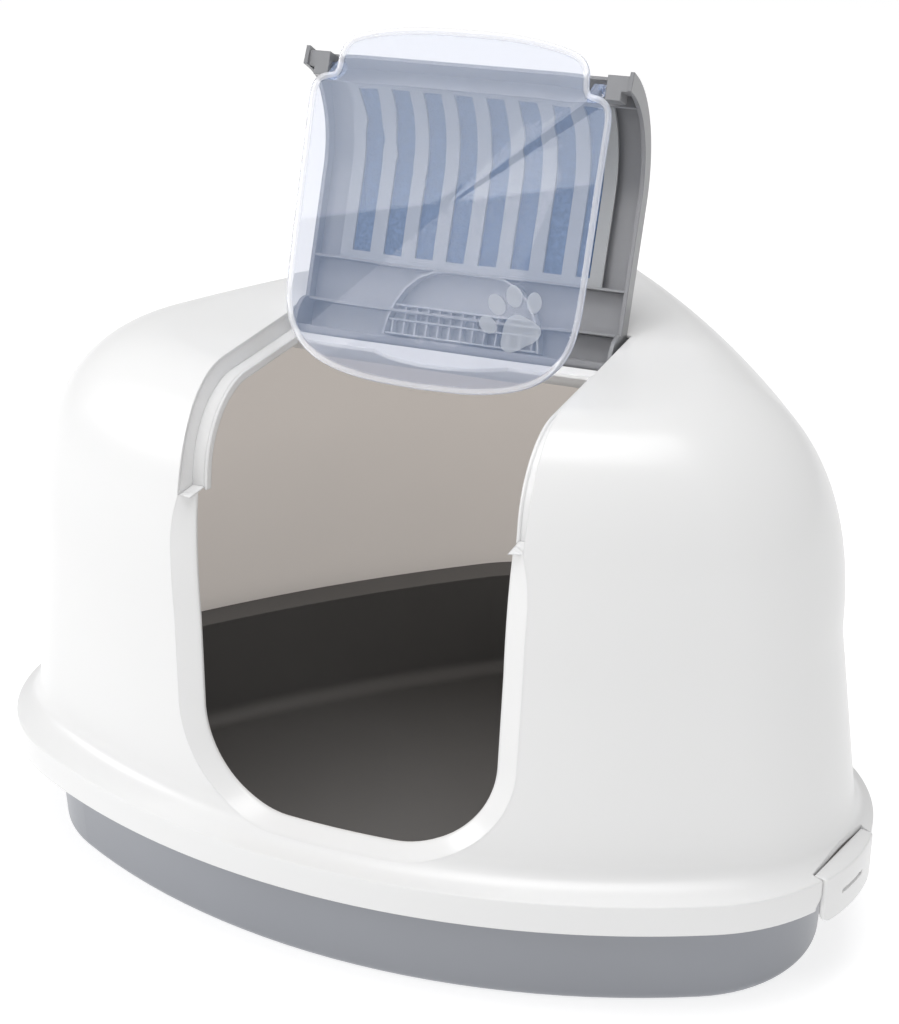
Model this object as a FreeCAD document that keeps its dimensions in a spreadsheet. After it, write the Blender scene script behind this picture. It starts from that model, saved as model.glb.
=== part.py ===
import FreeCAD, Part
import math
import os
import Sketcher

# Corner cat litter box with a lift-off hood, a tilting visor, a swinging flap and two rim clips.
# Frame: +X to the right seen from the front, +Y to the back, +Z up, millimetres.
# The origin is the middle of the footprint rectangle on the floor.

os.makedirs("parts", exist_ok=True)
doc = FreeCAD.newDocument("litter_box")
sheet = doc.addObject("Spreadsheet::Sheet", "Dims")

DIMENSIONS = [
    # plan outline of the rim, seen from above
    ("width", 584.0), ("depth", 455.0),
    ("front_radius", 502.0), ("corner_radius", 120.0), ("wall_radius", 1130.0), ("back_radius", 111.0),
    # plan outline of the hood wall, scaled down to each of its levels
    ("hood_width", 590.0), ("hood_depth", 455.0), ("hood_front_radius", 489.0),
    ("hood_corner_radius", 100.0), ("hood_wall_radius", 1140.0), ("hood_back_radius", 110.0),
    # tray
    ("tray_height", 84.0), ("tray_wall", 2.4), ("tray_floor", 3.0),
    ("tray_top_inset", 25.0), ("tray_foot_inset", 28.0), ("tray_foot_round", 6.0),
    ("rim_inset", 3.5), ("rim_thickness", 2.5), ("floor_round", 12.0),
    # hood
    ("wall", 2.5), ("skirt_bottom", 68.0), ("skirt_top", 88.0), ("seat_gap", 0.3),
    ("foot_height", 92.0), ("foot_half_width", 280.0), ("foot_setback", 19.5),
    ("spring_height", 213.0), ("side_draft", 0.14), ("front_draft", 0.05), ("rear_draft", -0.17),
    ("crown_height", 358.0), ("crown_half_width", 156.0), ("crown_setback", 92.0),
    ("crown_datum", 200.0), ("crown_slope", 0.01), ("crown_squeeze", -58.0), ("roundness", 2.42),
    # visor seat in the hood
    ("hinge_y", 216.0), ("hinge_z", 347.0), ("seat_half", 107.5), ("opening_half", 99.0),
    ("seat_depth", 12.5), ("trough_radius", 17.0), ("bar_front", 29.0),
    ("bar_lobe", 15.0), ("bar_lobe_half", 44.0),
    # doorway
    ("door_half_top", 99.0), ("door_half_low", 95.5), ("sill", 97.0), ("door_corner", 52.0),
    ("door_top", 296.0), ("jamb_depth", 10.0),
    # visor, drawn closed with the hinge axis at its origin
    ("visor_half", 105.0), ("visor_skin", 2.2), ("visor_rise", 11.0), ("bend_y", -98.0),
    ("bend_radius", 66.0), ("bend_angle", 82.0), ("visor_tail", 8.0), ("flange", 2.5),
    ("flange_depth", 11.5), ("barrel_radius", 15.5), ("open_angle", 112.0),
    ("hinge_pin", 3.45), ("hinge_hole", 3.5), ("rib", 1.6),
    # filter
    ("vent_start", -42.8), ("vent_end_angle", 64.0), ("vent_half", 79.0),
    ("slat_width", 8.9), ("slot_width", 11.9), ("slat_count", 7.0),
    ("pad_top", 2.2), ("pad_bottom", 6.5), ("grille_bottom", 8.3),
    # flap
    ("flap_axis_y", -154.0), ("flap_axis_z", -46.0), ("flap_half_top", 96.5), ("flap_half_low", 91.5),
    ("flap_length", 188.0), ("flap_skin", 1.8), ("flap_corner", 46.0), ("flap_lean", 21.0),
    ("flap_pin", 2.95), ("flap_pin_hole", 3.0), ("neck_half", 86.0), ("socket_inner", 89.0),
    ("socket_outer", 98.4), ("flap_front", 10.5), ("lip_height", 26.0),
    # clips
    ("clip_x", 279.7), ("clip_y", 134.1), ("clip_z", 87.3), ("clip_turn", 14.0),
    ("left_clip_x", 255.4), ("left_clip_y", 234.4), ("left_clip_turn", 38.5),
    ("clip_half", 31.0), ("clip_proud", 1.6), ("clip_inner", 0.9), ("clip_bottom", 57.0), ("clip_top", 85.0),
    ("clip_gap", 0.6), ("tab_half", 31.0), ("tab_reach", 14.0), ("tab_root", 1.3), ("tab_top", 1.4),
    ("clip_pin", 0.9), ("clip_pin_hole", 0.95), ("clip_pin_half", 34.5),
    ("bead_reach", 2.9), ("bead_half", 15.0), ("bead_low", 78.0), ("bead_high", 79.5),
    # vent ends and the reach of the cutting tools
    ("slot_low", 153.0), ("window_low", 146.0), ("slot_drop", 25.0), ("window_drop", 60.0),
    ("tool_rise", 60.0), ("tool_front", 260.0), ("opening_front", 240.0), ("opening_rise", 120.0),
    ("clip_tool_in", 25.0), ("clip_tool_out", 30.0), ("clip_tool_drop", 30.0),
    ("tab_tool_in", 2.2), ("tab_tool_rise", 12.0),
]
for row, (alias, value) in enumerate(DIMENSIONS, start=1):
    sheet.set("A%d" % row, alias)
    sheet.set("B%d" % row, repr(value))
    sheet.setAlias("B%d" % row, alias)
doc.recompute()
V = FreeCAD.Vector


def val(alias):
    return float(sheet.get(alias))


def number(text):
    return float(sheet.evalExpression(text))


def new_body(label):
    body = doc.addObject("PartDesign::Body", label)
    body.Label = label
    return body


def plane(body, role):
    for feature in body.Origin.OriginFeatures:
        if feature.Role == role:
            return feature
    raise RuntimeError("no plane " + role)


def new_sketch(body, name, role):
    sketch = body.newObject("Sketcher::SketchObject", name)
    sketch.AttachmentSupport = [(plane(body, role), "")]
    sketch.MapMode = "FlatFace"
    return sketch


def bind(sketch, kind, args, text):
    index = sketch.addConstraint(Sketcher.Constraint(kind, *args, number(text)))
    sketch.setExpression("Constraints[%d]" % index, text)
    return index


def fix_point(sketch, geo, pos, x_text, y_text):
    bind(sketch, "DistanceX", (-1, 1, geo, pos), x_text)
    bind(sketch, "DistanceY", (-1, 1, geo, pos), y_text)


def outline(body, name, scale, inset, setback, height, tilt=None, origin="0", squeeze="0", plan=""):
    """Closed plan outline of six tangent arcs, scaled, drawn in by an inset and shortened by a squeeze."""
    sketch = new_sketch(body, name, "XY_Plane")
    angle = number(tilt) if tilt else 0.0
    sketch.AttachmentOffset = FreeCAD.Placement(V(0, 0, 0), FreeCAD.Rotation(V(1, 0, 0), angle))
    sketch.setExpression("AttachmentOffset.Base.y", "%s - Dims.depth / 2" % origin)
    sketch.setExpression("AttachmentOffset.Base.z", height)
    if tilt:
        sketch.setExpression("AttachmentOffset.Rotation.Angle", tilt)
    front_y = "%s - %s" % (setback, origin)
    s = number(scale)
    gap = number(inset)
    front = val(plan + "front_radius") * s
    corner = val(plan + "corner_radius") * s
    wall = val(plan + "wall_radius") * s
    back = val(plan + "back_radius") * s
    base_y = number(front_y)
    front_c = V(0, base_y + front, 0)
    corner_x = (val(plan + "width") / 2 - val(plan + "corner_radius")) * s
    corner_y = front_c.y - math.sqrt((front - corner) ** 2 - corner_x ** 2)
    corner_c = V(corner_x, corner_y, 0)
    back_c = V(0, base_y + (val(plan + "depth") - val(plan + "back_radius")) * s - number(squeeze), 0)
    # centre of the long wall arc, which touches the corner and back circles from outside
    span = back_c.sub(corner_c)
    reach = span.Length
    r_corner = wall - corner
    r_back = wall - back
    along = (r_corner ** 2 - r_back ** 2 + reach ** 2) / (2 * reach)
    across = math.sqrt(r_corner ** 2 - along ** 2)
    unit = V(span.x / reach, span.y / reach, 0)
    wall_x = corner_c.x + unit.x * along - unit.y * across
    wall_y = corner_c.y + unit.y * along + unit.x * across
    wall_c = V(wall_x, wall_y, 0)
    left_corner_c = V(-corner_c.x, corner_c.y, 0)
    left_wall_c = V(-wall_c.x, wall_c.y, 0)

    def heading(a, b):
        return math.atan2(b.y - a.y, b.x - a.x)

    t_front = heading(front_c, corner_c)
    t_wall = heading(wall_c, corner_c)
    t_back = heading(wall_c, back_c)
    arcs = [
        (front_c, front, math.pi - t_front, t_front),
        (corner_c, corner, t_front, t_wall),
        (wall_c, wall, t_wall, t_back),
        (back_c, back, t_back, math.pi - t_back),
        (left_wall_c, wall, math.pi - t_back, math.pi - t_wall),
        (left_corner_c, corner, math.pi - t_wall, math.pi - t_front),
    ]
    for centre, radius, start, end in arcs:
        circle = Part.Circle(centre, V(0, 0, 1), radius - gap)
        sketch.addGeometry(Part.ArcOfCircle(circle, start, end if end > start else end + 2 * math.pi), False)
    for k in range(6):
        sketch.addConstraint(Sketcher.Constraint("Tangent", k, 2, (k + 1) % 6, 1))
    radii = ["front", "corner", "wall", "back", "wall", "corner"]
    for k in range(6):
        bind(sketch, "Radius", (k,), "Dims.%s%s_radius * %s - (%s)" % (plan, radii[k], scale, inset))
    corner_text = "(Dims.{0}width / 2 - Dims.{0}corner_radius) * {1}".format(plan, scale)
    back_text = "{0} + (Dims.{1}depth - Dims.{1}back_radius) * {2} - ({3})".format(
        front_y, plan, scale, squeeze)
    fix_point(sketch, 0, 3, "0", "%s + Dims.%sfront_radius * %s" % (front_y, plan, scale))
    fix_point(sketch, 3, 3, "0", back_text)
    bind(sketch, "DistanceX", (-1, 1, 1, 3), corner_text)
    bind(sketch, "DistanceX", (5, 3, -1, 1), corner_text)
    return sketch


def profile(body, name, role, steps, offset=None, at=None):
    """Closed profile of corners; a step ("arc", cx, cy, radius, x, y, turn) reaches its corner on an arc."""
    sketch = new_sketch(body, name, role)
    if offset:
        sketch.setExpression("AttachmentOffset.Base.z", offset)
    if at:
        sketch.setExpression("AttachmentOffset.Base.x", at[0])
        sketch.setExpression("AttachmentOffset.Base.y", at[1])
    here = (number(steps[0][0]), number(steps[0][1]))
    chain = []
    for step in steps[1:] + [steps[0]]:
        corner = step[4:6] if step[0] == "arc" else step
        goal = (number(corner[0]), number(corner[1]))
        if step[0] == "arc":
            centre = V(number(step[1]), number(step[2]), 0)
            a0 = math.atan2(here[1] - centre.y, here[0] - centre.x)
            a1 = math.atan2(goal[1] - centre.y, goal[0] - centre.x)
            circle = Part.Circle(centre, V(0, 0, 1), number(step[3]))
            if step[6] == "left":
                a1 = a1 if a1 > a0 else a1 + 2 * math.pi
                geo = sketch.addGeometry(Part.ArcOfCircle(circle, a0, a1), False)
                ends = (1, 2)
            else:
                a0 = a0 if a0 > a1 else a0 + 2 * math.pi
                geo = sketch.addGeometry(Part.ArcOfCircle(circle, a1, a0), False)
                ends = (2, 1)
            bind(sketch, "Radius", (geo,), step[3])
        else:
            line = Part.LineSegment(V(here[0], here[1], 0), V(goal[0], goal[1], 0))
            geo = sketch.addGeometry(line, False)
            ends = (1, 2)
        fix_point(sketch, geo, ends[1], corner[0], corner[1])
        chain.append((geo, ends))
        here = goal
    for k, (geo, ends) in enumerate(chain):
        after, after_ends = chain[(k + 1) % len(chain)]
        sketch.addConstraint(Sketcher.Constraint("Coincident", geo, ends[1], after, after_ends[0]))
    return sketch


def circle_sketch(body, name, role, x, y, radius, offset):
    sketch = new_sketch(body, name, role)
    sketch.setExpression("AttachmentOffset.Base.z", offset)
    centre = V(number(x), number(y), 0)
    geo = sketch.addGeometry(Part.Circle(centre, V(0, 0, 1), number(radius)), False)
    bind(sketch, "Radius", (geo,), radius)
    fix_point(sketch, geo, 3, x, y)
    return sketch


def pad(body, name, sketch, length, symmetric=False, cut=False):
    feature = body.newObject("PartDesign::Pocket" if cut else "PartDesign::Pad", name)
    feature.Profile = sketch
    feature.setExpression("Length", length)
    feature.SideType = "Symmetric" if symmetric else "One side"
    return feature


def mirror_x(body, name, features):
    feature = body.newObject("PartDesign::Mirrored", name)
    feature.Originals = features
    feature.MirrorPlane = (plane(body, "YZ_Plane"), [""])
    body.Tip = feature
    return feature


def loft(body, name, sketches, ruled=False, cut=False):
    kind = "PartDesign::SubtractiveLoft" if cut else "PartDesign::AdditiveLoft"
    feature = body.newObject(kind, name)
    feature.Profile = sketches[0]
    feature.Sections = sketches[1:]
    feature.Ruled = ruled
    return feature


def boolean(name, kind, base, tools):
    if kind == "fuse":
        feature = doc.addObject("Part::MultiFuse", name)
        feature.Shapes = [base] + tools
    else:
        feature = doc.addObject("Part::" + ("Cut" if kind == "cut" else "Common"), name)
        feature.Base = base
        feature.Tool = tools[0]
    feature.Refine = False
    return feature


# ---------------------------------------------------------------- tray
tray = new_body("tray")
tray_low = outline(tray, "tray_low", "1", "Dims.tray_foot_inset", "0", "0")
tray_wall = pad(tray, "tray_block", tray_low, "Dims.tray_height")
tray_wall.TaperAngle = 1.0
TRAY_TAPER = "atan((Dims.tray_foot_inset - Dims.tray_top_inset) / Dims.tray_height)"
tray_wall.setExpression("TaperAngle", TRAY_TAPER)
rim_sketch = outline(tray, "rim_outline", "1", "Dims.rim_inset", "0",
                     "Dims.tray_height - Dims.rim_thickness")
pad(tray, "rim", rim_sketch, "Dims.rim_thickness")
mouth_sketch = outline(tray, "mouth_outline", "1", "Dims.tray_top_inset + Dims.tray_wall", "0",
                       "Dims.tray_height")
hollow = pad(tray, "tray_hollow", mouth_sketch, "Dims.tray_height - Dims.tray_floor", cut=True)
hollow.TaperAngle = -1.0
hollow.setExpression("TaperAngle", "-atan((Dims.tray_foot_inset - Dims.tray_top_inset) / Dims.tray_height)")
doc.recompute()


def edges_at(feature, height):
    names = []
    for k, edge in enumerate(feature.Shape.Edges, start=1):
        if all(abs(v.z - height) < 0.02 for v in edge.discretize(5)):
            names.append("Edge%d" % k)
    return names


def round_edges(body, name, height, radius):
    tip = body.Tip
    feature = body.newObject("PartDesign::Fillet", name)
    feature.Base = (tip, edges_at(tip, height))
    feature.setExpression("Radius", radius)
    doc.recompute()
    return feature


round_edges(tray, "foot_round", 0.0, "Dims.tray_foot_round")
round_edges(tray, "inner_round", val("tray_floor"), "Dims.floor_round")


# ---------------------------------------------------------------- hood shell
def dome(name, gap):
    """Skirt, sloping foot and domed shell as one solid; gap draws every face in by the wall thickness."""
    body = new_body(name)
    inner = gap != "0"
    skirt_from = "Dims.skirt_bottom - 1" if inner else "Dims.skirt_bottom"
    skirt_to = "(Dims.tray_height + Dims.seat_gap)" if inner else "Dims.skirt_top"
    skirt = outline(body, name + "_skirt", "1", gap, "0", skirt_from)
    pad(body, name + "_skirt_pad", skirt, "%s - (%s)" % (skirt_to, skirt_from))
    foot_scale = "(Dims.foot_half_width - %s) / (Dims.hood_width / 2)" % gap
    foot_set = "(Dims.foot_setback + %s)" % gap
    if inner:
        ledge_low = outline(body, name + "_ledge_low", foot_scale, "0", foot_set, skirt_to, plan="hood_")
    else:
        ledge_low = outline(body, name + "_ledge_low", "1", "1", "0", skirt_to)
    ledge_high = outline(body, name + "_ledge_high", foot_scale, "0", foot_set, "Dims.foot_height",
                         plan="hood_")
    loft(body, name + "_ledge", [ledge_low, ledge_high], ruled=True)
    sections = [outline(body, name + "_foot", foot_scale, "0", foot_set, "Dims.foot_height", plan="hood_")]
    power = 2.0 / val("roundness")
    for k, turn in enumerate([-1, 0, 24, 44, 62, 78]):
        rise = math.sin(math.radians(max(turn, 0))) ** power
        reach = 1 - math.cos(math.radians(max(turn, 0))) ** power
        lift = "(Dims.spring_height - Dims.foot_height)"
        if turn < 0:
            lift = lift + " * 0.5"
        half = "(Dims.foot_half_width - Dims.side_draft * %s)" % lift
        back = "(Dims.foot_setback + Dims.front_draft * %s)" % lift
        half = "(%s + (Dims.crown_half_width - %s) * %.4f)" % (half, half, reach)
        back = "(%s + (Dims.crown_setback - %s) * %.4f)" % (back, back, reach)
        short = "Dims.rear_draft * %s" % lift
        short = "(%s + (Dims.crown_squeeze - %s) * %.4f)" % (short, short, reach)
        lean = math.sin(math.radians(max(turn, 0)))
        side = math.cos(math.radians(max(turn, 0)))
        height = "Dims.foot_height + %s + (Dims.crown_height - Dims.spring_height) * %.4f - %s * %.4f" % (
            lift, rise, gap, lean)
        half = "(%s - %s * %.4f)" % (half, gap, max(side, 0.35))
        back = "(%s + %s * %.4f)" % (back, gap, max(side, 0.35))
        tilt = "Dims.crown_slope * %.4f * 57.296" % rise if rise > 0 else None
        scale = "%s / (Dims.hood_width / 2)" % half
        datum = "Dims.crown_datum" if tilt else "0"
        sections.append(outline(body, "%s_ring_%d" % (name, k), scale, "0", back, height, tilt, datum,
                                short, "hood_"))
    loft(body, name + "_dome", sections)
    doc.recompute()
    return body


dome_outer = dome("dome_outer", "0")
dome_inner = dome("dome_inner", "Dims.wall")
hood_shell = boolean("hood_shell", "cut", dome_outer, [dome_inner])

HINGE_Y = "(Dims.hinge_y - Dims.depth / 2)"
HINGE = (HINGE_Y, "Dims.hinge_z")
BEND_Z = "(Dims.visor_rise - Dims.bend_radius)"


def curve_point(depth, angle, tail="0"):
    """Point on the visor curve, a depth below its outer face, on the bend or on the straight tail."""
    radius = "(Dims.bend_radius - (%s))" % depth
    y = "Dims.bend_y - %s * sin(%s) - (%s) * cos(%s)" % (radius, angle, tail, angle)
    z = "%s + %s * cos(%s) - (%s) * sin(%s)" % (BEND_Z, radius, angle, tail, angle)
    return y, z


def bend(depth, goal, turn):
    return ("arc", "Dims.bend_y", BEND_Z, "Dims.bend_radius - (%s)" % depth, goal[0], goal[1], turn)


def band(start, top, bottom, angle, tail="0"):
    """Closed strip between two depths below the visor's outer face."""
    upper = curve_point(top, angle)
    lower = curve_point(bottom, angle)
    steps = [
        (start, "Dims.visor_rise - (%s)" % top),
        ("Dims.bend_y", "Dims.visor_rise - (%s)" % top),
        bend(top, upper, "left"),
    ]
    if tail != "0":
        steps = steps + [curve_point(top, angle, tail), curve_point(bottom, angle, tail)]
    steps = steps + [
        lower,
        bend(bottom, ("Dims.bend_y", "Dims.visor_rise - (%s)" % bottom), "right"),
        (start, "Dims.visor_rise - (%s)" % bottom),
    ]
    return steps


ANGLE = "(Dims.bend_angle * 1deg)"


# ---------------------------------------------------------------- visor seat, opening and doorway
def seat(name, depth, trough, half):
    body = new_body(name)
    end = curve_point(depth, ANGLE)
    low = curve_point(depth, ANGLE, "Dims.visor_tail")
    level = "Dims.visor_rise - (%s)" % depth
    steps = [
        ("(%s)" % trough, "Dims.tool_rise"),
        ("(%s)" % trough, "0"),
        ("arc", "0", "0", trough, "-sqrt((%s) ^ 2 - (%s) ^ 2)" % (trough, level), level, "right"),
        ("Dims.bend_y", level),
        bend(depth, end, "left"),
        low,
        ("-Dims.tool_front", low[1]),
        ("-Dims.tool_front", "Dims.tool_rise"),
    ]
    sketch = profile(body, name + "_profile", "YZ_Plane", steps, at=HINGE)
    pad(body, name + "_pad", sketch, "2 * (%s)" % half, symmetric=True)
    return body


seat_block = seat("seat_block", "Dims.seat_depth + Dims.wall", "Dims.trough_radius + Dims.wall",
                  "Dims.seat_half + Dims.wall")
seat_room = seat("seat_room", "Dims.seat_depth", "Dims.trough_radius", "Dims.seat_half")

LOBE_RADIUS = "((Dims.bar_lobe_half ^ 2 + Dims.bar_lobe ^ 2) / (2 * Dims.bar_lobe))"
opening = new_body("opening")
opening_steps = [
    ("-Dims.opening_half", "-Dims.opening_front"),
    ("Dims.opening_half", "-Dims.opening_front"),
    ("Dims.opening_half", "-Dims.bar_front"),
    ("Dims.bar_lobe_half", "-Dims.bar_front"),
    ("arc", "0", "-Dims.bar_front - Dims.bar_lobe + %s" % LOBE_RADIUS, LOBE_RADIUS,
     "-Dims.bar_lobe_half", "-Dims.bar_front", "right"),
    ("-Dims.opening_half", "-Dims.bar_front"),
]
opening_sketch = profile(opening, "opening_plan", "XY_Plane", opening_steps, offset="Dims.door_top",
                         at=("0", HINGE_Y))
pad(opening, "opening_pad", opening_sketch, "Dims.opening_rise")


def door_steps(grow):
    low = "(Dims.door_half_low + %s)" % grow
    top = "(Dims.door_half_top + %s)" % grow
    corner = "(Dims.door_corner + %s)" % grow
    base = "(Dims.sill - %s)" % grow
    return [
        ("-" + top, "Dims.door_top + 0.5"),
        ("-" + low, "%s + %s" % (base, corner)),
        ("arc", "-%s + %s" % (low, corner), "%s + %s" % (base, corner), corner,
         "-%s + %s" % (low, corner), base, "left"),
        ("%s - %s" % (low, corner), base),
        ("arc", "%s - %s" % (low, corner), "%s + %s" % (base, corner), corner,
         low, "%s + %s" % (base, corner), "left"),
        (top, "Dims.door_top + 0.5"),
    ]


def door_block(name, grow):
    # the sketch plane faces -Y, so a positive pad runs towards the front
    body = new_body(name)
    sketch = profile(body, name + "_outline", "XZ_Plane", door_steps(grow), offset="150")
    pad(body, name + "_pad", sketch, "100")
    return body


doorway = door_block("doorway", "0")
jamb_block = door_block("jamb_block", "Dims.wall")
doc.recompute()
behind_jamb = doc.addObject("Part::Feature", "behind_jamb")
behind_jamb.Shape = dome_outer.Shape
behind_jamb.Placement = FreeCAD.Placement(V(0, val("jamb_depth"), 0), FreeCAD.Rotation())
jamb_front = boolean("jamb_front", "common", dome_outer, [jamb_block])
jamb = boolean("jamb", "cut", jamb_front, [behind_jamb])
seat_shell = boolean("seat_shell", "common", dome_outer, [seat_block])
hood_solid = boolean("hood_solid", "fuse", hood_shell, [seat_shell, jamb])


# ---------------------------------------------------------------- clip frame
def clip_placement(side, x, y, z):
    """Placement in the frame of a clip hinge; side * x runs outwards, y along the hinge."""
    prefix = "" if side > 0 else "left_"
    turn = FreeCAD.Rotation(V(0, 0, 1), -val(prefix + "clip_turn"))
    base = V(side * val(prefix + "clip_x"), val(prefix + "clip_y") - val("depth") / 2, val("clip_z"))
    return FreeCAD.Placement(base.add(turn.multVec(V(x, y, z))), turn)


def clip_box(name, side, x0, x1, half, z0, z1):
    box = doc.addObject("Part::Box", name)
    box.setExpression("Length", "(%s) - (%s)" % (x1, x0))
    box.setExpression("Width", "2 * (%s)" % half)
    box.setExpression("Height", "(%s) - (%s)" % (z1, z0))
    near = number(x0) if side > 0 else -number(x1)
    box.Placement = clip_placement(side, near, -number(half), number(z0))
    return box


def clip_pin(name, side, radius, half):
    pin = doc.addObject("Part::Cylinder", name)
    pin.setExpression("Radius", radius)
    pin.setExpression("Height", "2 * (%s)" % half)
    place = clip_placement(side, 0, number(half), 0)
    pin.Placement = FreeCAD.Placement(place.Base, place.Rotation.multiply(FreeCAD.Rotation(V(1, 0, 0), 90)))
    return pin


hood_cuts = [seat_room, opening, doorway]
for side, word in ((1, "right"), (-1, "left")):
    hood_cuts.append(clip_box("skirt_notch_" + word, side, "-Dims.clip_tool_in", "Dims.clip_tool_out",
                              "Dims.clip_half + Dims.clip_gap", "-Dims.clip_tool_drop",
                              "Dims.clip_top + 0.4 - Dims.clip_z"))
    hood_cuts.append(clip_box("tab_notch_" + word, side, "-Dims.tab_tool_in", "Dims.clip_tool_out",
                              "Dims.tab_half + Dims.clip_gap", "-Dims.tab_tool_in", "Dims.tab_tool_rise"))
    hood_cuts.append(clip_pin("clip_hole_" + word, side, "Dims.clip_pin_hole", "Dims.clip_pin_half + 0.4"))
hinge_hole = doc.addObject("Part::Cylinder", "hinge_hole")
hinge_hole.setExpression("Radius", "Dims.hinge_hole")
hinge_hole.setExpression("Height", "2 * (Dims.seat_half + Dims.wall + 4)")
hinge_hole.Placement = FreeCAD.Placement(
    V(-(val("seat_half") + val("wall") + 4), val("hinge_y") - val("depth") / 2, val("hinge_z")),
    FreeCAD.Rotation(V(0, 1, 0), 90))
hood_cuts.append(hinge_hole)
hood_room = boolean("hood_room", "fuse", hood_cuts[0], hood_cuts[1:])
hood = boolean("hood", "cut", hood_solid, [hood_room])
hood.Label = "hood"
doc.recompute()


# ---------------------------------------------------------------- visor
visor = new_body("visor")
START = "sqrt(Dims.barrel_radius ^ 2 - Dims.visor_rise ^ 2)"
skin = profile(visor, "skin_profile", "YZ_Plane",
               band(START + " - 0.6", "0", "Dims.visor_skin", "(Dims.bend_angle * 1deg - 4deg)"))
pad(visor, "skin", skin, "2 * Dims.visor_half", symmetric=True)
inner_barrel = "(Dims.barrel_radius - Dims.visor_skin)"
barrel_steps = [
    ("Dims.barrel_radius * cos(44deg)", "Dims.barrel_radius * sin(44deg)"),
    ("arc", "0", "0", "Dims.barrel_radius", "Dims.barrel_radius * cos(80deg)",
     "-Dims.barrel_radius * sin(80deg)", "right"),
    ("%s * cos(80deg)" % inner_barrel, "-%s * sin(80deg)" % inner_barrel),
    ("arc", "0", "0", inner_barrel, "%s * cos(44deg)" % inner_barrel,
     "%s * sin(44deg)" % inner_barrel, "left"),
]
barrel = profile(visor, "barrel_profile", "YZ_Plane", barrel_steps)
pad(visor, "barrel", barrel, "2 * Dims.visor_half", symmetric=True)
side_sketch = profile(visor, "side_profile", "YZ_Plane",
                      band("0", "0", "Dims.flange_depth", ANGLE, "Dims.visor_tail"),
                      offset="Dims.visor_half - Dims.flange")
side_pad = pad(visor, "side_flange", side_sketch, "Dims.flange")
ear_sketch = circle_sketch(visor, "ear_profile", "YZ_Plane", "0", "0", "Dims.barrel_radius - 0.01",
                           "Dims.visor_half - Dims.flange")
ear_pad = pad(visor, "ear", ear_sketch, "Dims.flange")
pin_sketch = circle_sketch(visor, "pin_profile", "YZ_Plane", "0", "0", "Dims.hinge_pin",
                           "Dims.visor_half - Dims.flange")
pin_pad = pad(visor, "pin", pin_sketch, "Dims.flange + Dims.seat_half - Dims.visor_half + Dims.wall + 3")
socket_steps = [
    ("Dims.flap_axis_y - 8", "Dims.flap_axis_z - 7"),
    ("Dims.flap_axis_y + 6.5", "Dims.flap_axis_z - 7"),
    ("Dims.flap_axis_y + 6.5", "Dims.flap_axis_z + 6.5"),
    ("Dims.flap_axis_y - 7", "Dims.flap_axis_z + 6.5"),
]
socket_sketch = profile(visor, "socket_profile", "YZ_Plane", socket_steps, offset="Dims.socket_inner")
socket_pad = pad(visor, "socket", socket_sketch, "Dims.socket_outer - Dims.socket_inner")
web_steps = [
    ("Dims.flap_axis_y - 8", "Dims.flap_axis_z - 7"),
    ("Dims.flap_axis_y + 1.2", "Dims.flap_axis_z - 7"),
    ("Dims.flap_axis_y + 1.2", "Dims.flap_axis_z + 6.5"),
    ("Dims.flap_axis_y - 7", "Dims.flap_axis_z + 6.5"),
]
web_sketch = profile(visor, "socket_web_profile", "YZ_Plane", web_steps, offset="Dims.socket_outer")
web_pad = pad(visor, "socket_web", web_sketch, "Dims.visor_half - Dims.flange - Dims.socket_outer + 0.01")
mirror_x(visor, "other_side", [side_pad, ear_pad, pin_pad, socket_pad, web_pad])
for k, (rib_y, drop) in enumerate(((-14.7, 11.5), (-42.0, 11.0))):
    rib_steps = [
        ("%.1f - Dims.rib / 2" % rib_y, "Dims.visor_rise - 1"),
        ("%.1f - Dims.rib / 2" % rib_y, "Dims.visor_rise - %.1f" % drop),
        ("%.1f + Dims.rib / 2" % rib_y, "Dims.visor_rise - %.1f" % drop),
        ("%.1f + Dims.rib / 2" % rib_y, "Dims.visor_rise - 1"),
    ]
    rib_sketch = profile(visor, "rib_%d_profile" % k, "YZ_Plane", rib_steps)
    pad(visor, "rib_%d" % k, rib_sketch, "2 * Dims.visor_half - Dims.flange", symmetric=True)
step_low = curve_point("11.8", "64deg")
step_high = curve_point("1", "64deg")
step_low_b = curve_point("11.8", "65.6deg")
step_high_b = curve_point("1", "65.6deg")
step_sketch = profile(visor, "step_profile", "YZ_Plane", [step_high, step_low, step_low_b, step_high_b])
pad(visor, "step", step_sketch, "2 * Dims.visor_half - Dims.flange", symmetric=True)
pin_hole = circle_sketch(visor, "flap_hole_profile", "YZ_Plane", "Dims.flap_axis_y", "Dims.flap_axis_z",
                         "Dims.flap_pin_hole", "-98")
pad(visor, "flap_hole", pin_hole, "196", cut=True)
visor.Tip.Reversed = True
PITCH = "(Dims.slat_width + Dims.slot_width)"
slot_steps = [
    ("-Dims.vent_half", "-Dims.slot_low"),
    ("-Dims.vent_half + Dims.slot_width", "-Dims.slot_low"),
    ("-Dims.vent_half + Dims.slot_width", "Dims.vent_start - 4"),
    ("-Dims.vent_half", "Dims.vent_start - 4"),
]
slot_sketch = profile(visor, "slot_profile", "XY_Plane", slot_steps,
                      offset="-Dims.slot_drop")
slot = pad(visor, "slot", slot_sketch, "Dims.tool_rise", cut=True)
slot.Reversed = True
slots = visor.newObject("PartDesign::LinearPattern", "slots")
slots.Originals = [slot]
slots.Direction = (slot_sketch, ["H_Axis"])
visor.Tip = slots
slots.Occurrences = int(val("slat_count")) + 1
slots.setExpression("Length", "%s * Dims.slat_count" % PITCH)
doc.recompute()


# ---------------------------------------------------------------- filter
VENT_END = "(Dims.vent_end_angle * 1deg)"


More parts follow.
